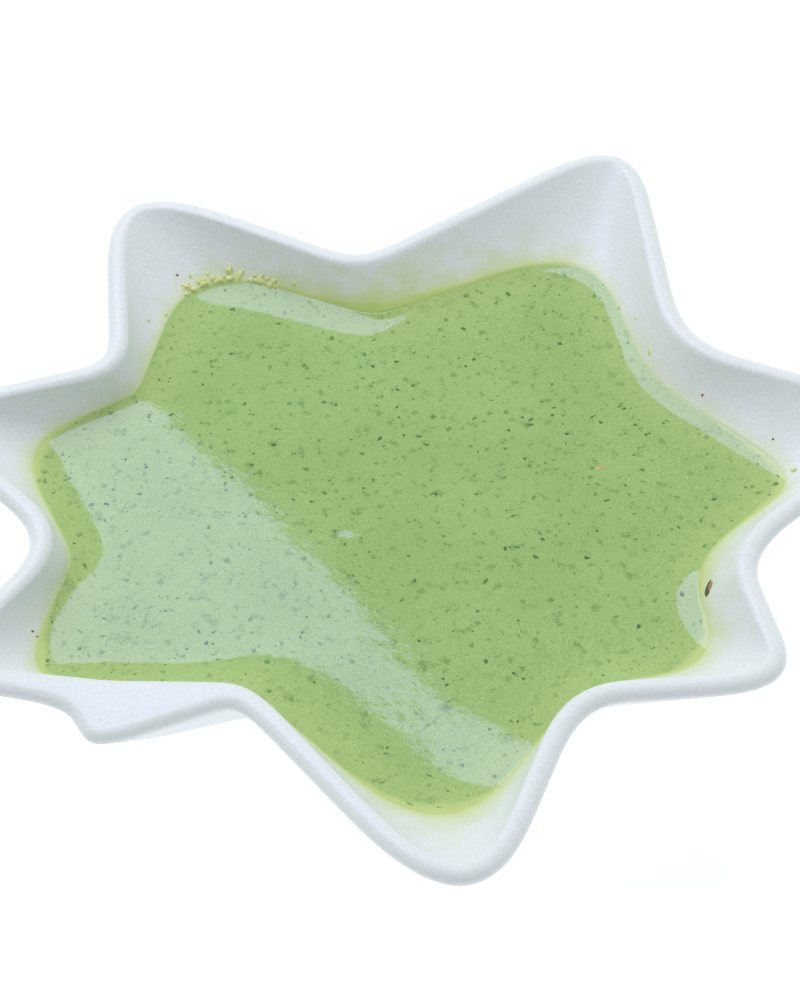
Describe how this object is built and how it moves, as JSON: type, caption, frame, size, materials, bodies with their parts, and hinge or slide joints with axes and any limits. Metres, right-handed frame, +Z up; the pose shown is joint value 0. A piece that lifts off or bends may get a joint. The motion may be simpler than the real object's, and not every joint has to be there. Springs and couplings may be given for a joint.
{
  "type": "bowl of spinach dip",
  "caption": "Star-shaped bowl of white glazed ceramic, filled almost to its rounded rim with smooth pale green dip flecked with spinach.",
  "frame": {"origin": "centre of the bowl's box, at the level of the foot ring that it stands on", "axes": "+Z up out of the bowl; +X to the right and +Y away, as seen from the side that the reference view looks from"},
  "size_m": [0.1908, 0.1815, 0.0361],
  "materials": {
    "glaze": "glossy white glaze with a cool tint and slight dimples",
    "spinach_dip": "wet, smooth pale green dip with flakes of spinach"
  },
  "bodies": {
    "root": {"bowl": "glaze", "dip": "spinach_dip"}
  },
  "joints": []
}
